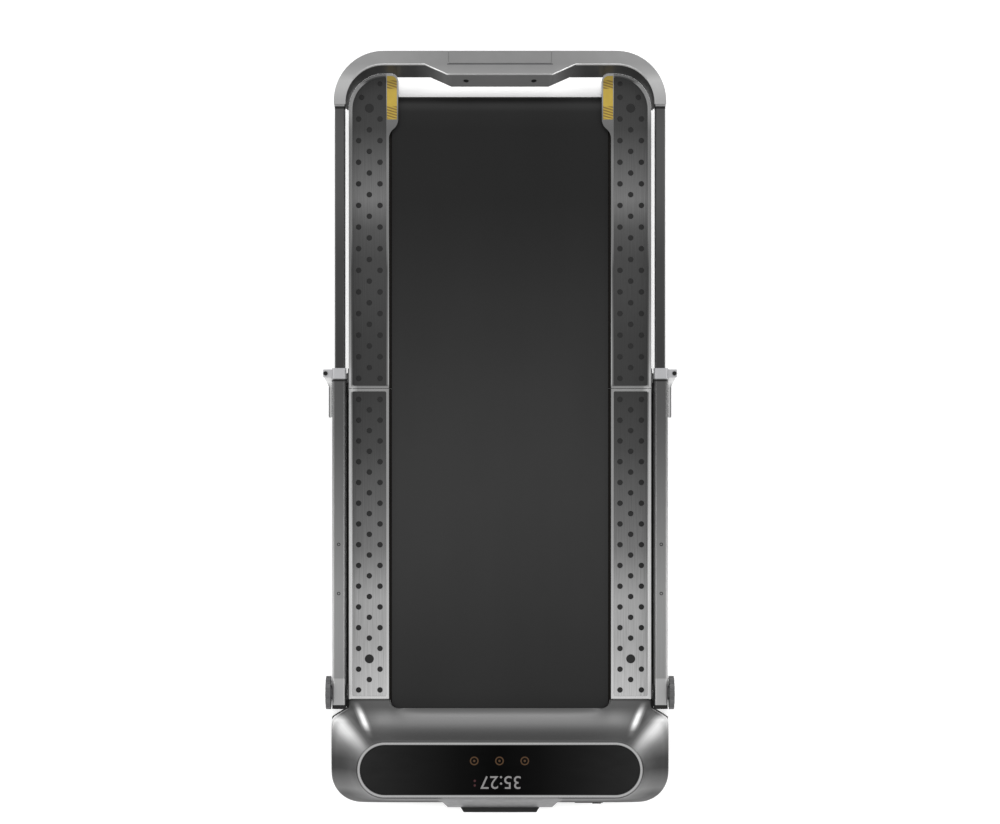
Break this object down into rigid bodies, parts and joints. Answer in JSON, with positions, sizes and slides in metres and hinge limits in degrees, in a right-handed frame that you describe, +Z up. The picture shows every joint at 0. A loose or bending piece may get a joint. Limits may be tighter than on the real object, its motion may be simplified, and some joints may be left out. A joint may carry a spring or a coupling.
{
  "type": "folding walking pad",
  "caption": "Low walking treadmill whose deck folds in half, with a tilt-up telescopic handrail, studded side rails and a touch display on the motor hood.",
  "frame": {"origin": "on the floor, under the middle of the bounding box", "axes": "+X to the machine's right seen with the handlebar at the top, +Y to the rear end with the handlebar, +Z up from the floor"},
  "size_m": [0.706, 1.5222, 0.1246],
  "materials": {
    "frame_steel": "satin black paint",
    "bright_steel": "bright steel",
    "black_screw": "black oxide",
    "rail_silver": "silver paint",
    "tread_metal": "brushed and anodised grey",
    "bezel_metal": "bright satin",
    "black_rubber": "matte",
    "belt": "fine textured matte",
    "deck_wood": "waxed dark board",
    "hood_grey": "metallic gloss",
    "bumper_grey": "satin",
    "pan_black": "moulded matte",
    "display_black": "polished",
    "circuit": "circuit board",
    "controller_metal": "finned",
    "motor_black": "satin",
    "tube_grey": "anodised satin grey",
    "tube_dark": "anodised dark grey",
    "collar_grey": "cast satin",
    "lever_chrome": "polished",
    "knob_grey": "moulded",
    "bar_grey": "satin metallic",
    "inlay_yellow": "printed"
  },
  "bodies": {
    "base": {"front_frame": "frame_steel", "front_deck_board": "deck_wood", "front_deck_cushions": "black_rubber", "front_rail_cover_left": "rail_silver", "front_rail_cover_right": "rail_silver", "front_tread_plates": "tread_metal", "front_grip_mats": "black_rubber", "base_pan": "pan_black", "motor_hood": "hood_grey", "display_bezel": "bezel_metal", "display_lens": "display_black", "display_board": "circuit", "front_bumper": "bumper_grey", "bumper_pad": "black_rubber", "power_inlet": "pan_black", "front_feet": "black_rubber", "walking_belt_front": "belt", "drive_roller_shaft": "bright_steel", "motor_body": "motor_black", "drive_belt": "black_rubber", "motor_controller": "controller_metal", "side_plate_left": "frame_steel", "side_plate_right": "frame_steel", "deck_hinge_pins": "bright_steel", "pivot_bolts": "bright_steel"},
    "drive_roller": {"drive_roller_tube": "bright_steel", "drive_roller_pulley": "pan_black"},
    "motor_rotor": {"motor_flywheel": "bright_steel"},
    "power_switch": {"power_rocker": "pan_black"},
    "wheel_left": {"transport_wheel_left": "black_rubber"},
    "wheel_right": {"transport_wheel_right": "black_rubber"},
    "rear_deck": {"rear_frame": "frame_steel", "rear_deck_board": "deck_wood", "rear_deck_cushions": "black_rubber", "rear_rail_cover_left": "rail_silver", "rear_rail_cover_right": "rail_silver", "rear_tread_plates": "tread_metal", "rear_grip_mats": "black_rubber", "edge_inlays": "inlay_yellow", "rear_pan": "pan_black", "rear_feet": "black_rubber", "walking_belt_rear": "belt", "rear_roller_shaft": "bright_steel", "rear_hinge_plates": "frame_steel"},
    "rear_roller": {"rear_roller_tube": "bright_steel"},
    "handrail_lower": {"upright_tubes_outer": "tube_grey", "pivot_blocks": "tube_grey", "pivot_caps": "pan_black", "clamp_collars": "collar_grey", "clamp_pins": "black_screw"},
    "lever_left": {"clamp_lever_left": "lever_chrome"},
    "lever_right": {"clamp_lever_right": "lever_chrome"},
    "knob_left": {"pivot_knob_left": "knob_grey"},
    "knob_right": {"pivot_knob_right": "knob_grey"},
    "handrail_upper": {"upright_tubes_inner": "tube_dark", "handlebar_shell": "bar_grey", "handlebar_cover": "bar_grey", "handlebar_screws": "black_screw", "handlebar_ferrules": "bezel_metal"},
    "flap": {"phone_flap": "bar_grey"}
  },
  "joints": [
    {"name": "deck_fold", "type": "hinge", "parent": "base", "child": "rear_deck", "pos_m": [0, 0.091, 0.071], "axis": [1, 0, 0], "range_deg": [0, 180]},
    {"name": "handrail_raise", "type": "hinge", "parent": "base", "child": "handrail_lower", "pos_m": [0, -0.515, 0.09], "axis": [1, 0, 0], "range_deg": [0, 90]},
    {"name": "handrail_slide", "type": "slide", "parent": "handrail_lower", "child": "handrail_upper", "axis": [0, 1, 0], "range_m": [-0.515, 0]},
    {"name": "phone_flap_hinge", "type": "hinge", "parent": "handrail_upper", "child": "flap", "pos_m": [0, 0.7376, 0.1055], "axis": [1, 0, 0], "range_deg": [0, 100]},
    {"name": "clamp_lever_left_hinge", "type": "hinge", "parent": "handrail_lower", "child": "lever_left", "pos_m": [-0.3465, 0.1205, 0.09], "axis": [0, 0, -1], "range_deg": [0, 110]},
    {"name": "clamp_lever_right_hinge", "type": "hinge", "parent": "handrail_lower", "child": "lever_right", "pos_m": [0.3465, 0.1205, 0.09], "axis": [0, 0, 1], "range_deg": [0, 110]},
    {"name": "pivot_knob_left_turn", "type": "hinge", "parent": "base", "child": "knob_left", "pos_m": [-0.3398, -0.515, 0.09], "axis": [1, 0, 0], "continuous": true},
    {"name": "pivot_knob_right_turn", "type": "hinge", "parent": "base", "child": "knob_right", "pos_m": [0.3398, -0.515, 0.09], "axis": [1, 0, 0], "continuous": true},
    {"name": "drive_roller_spin", "type": "hinge", "parent": "base", "child": "drive_roller", "pos_m": [0, -0.5905, 0.041], "axis": [1, 0, 0], "continuous": true},
    {"name": "rear_roller_spin", "type": "hinge", "parent": "rear_deck", "child": "rear_roller", "pos_m": [0, 0.6566, 0.041], "axis": [1, 0, 0], "continuous": true},
    {"name": "motor_spin", "type": "hinge", "parent": "base", "child": "motor_rotor", "pos_m": [0.228, -0.6725, 0.066], "axis": [1, 0, 0], "continuous": true},
    {"name": "power_switch_rock", "type": "hinge", "parent": "base", "child": "power_switch", "pos_m": [0.194, -0.7346, 0.045], "axis": [1, 0, 0], "range_deg": [-7, 7]},
    {"name": "wheel_left_spin", "type": "hinge", "parent": "base", "child": "wheel_left", "pos_m": [-0.2734, -0.7093, 0.024], "axis": [1, 0, 0], "continuous": true},
    {"name": "wheel_right_spin", "type": "hinge", "parent": "base", "child": "wheel_right", "pos_m": [0.2734, -0.7093, 0.024], "axis": [1, 0, 0], "continuous": true}
  ],
  "couplings": [
    {"joint": "rear_roller_spin", "follows": "drive_roller_spin", "ratio": 1},
    {"joint": "motor_spin", "follows": "drive_roller_spin", "ratio": 1.6923}
  ]
}
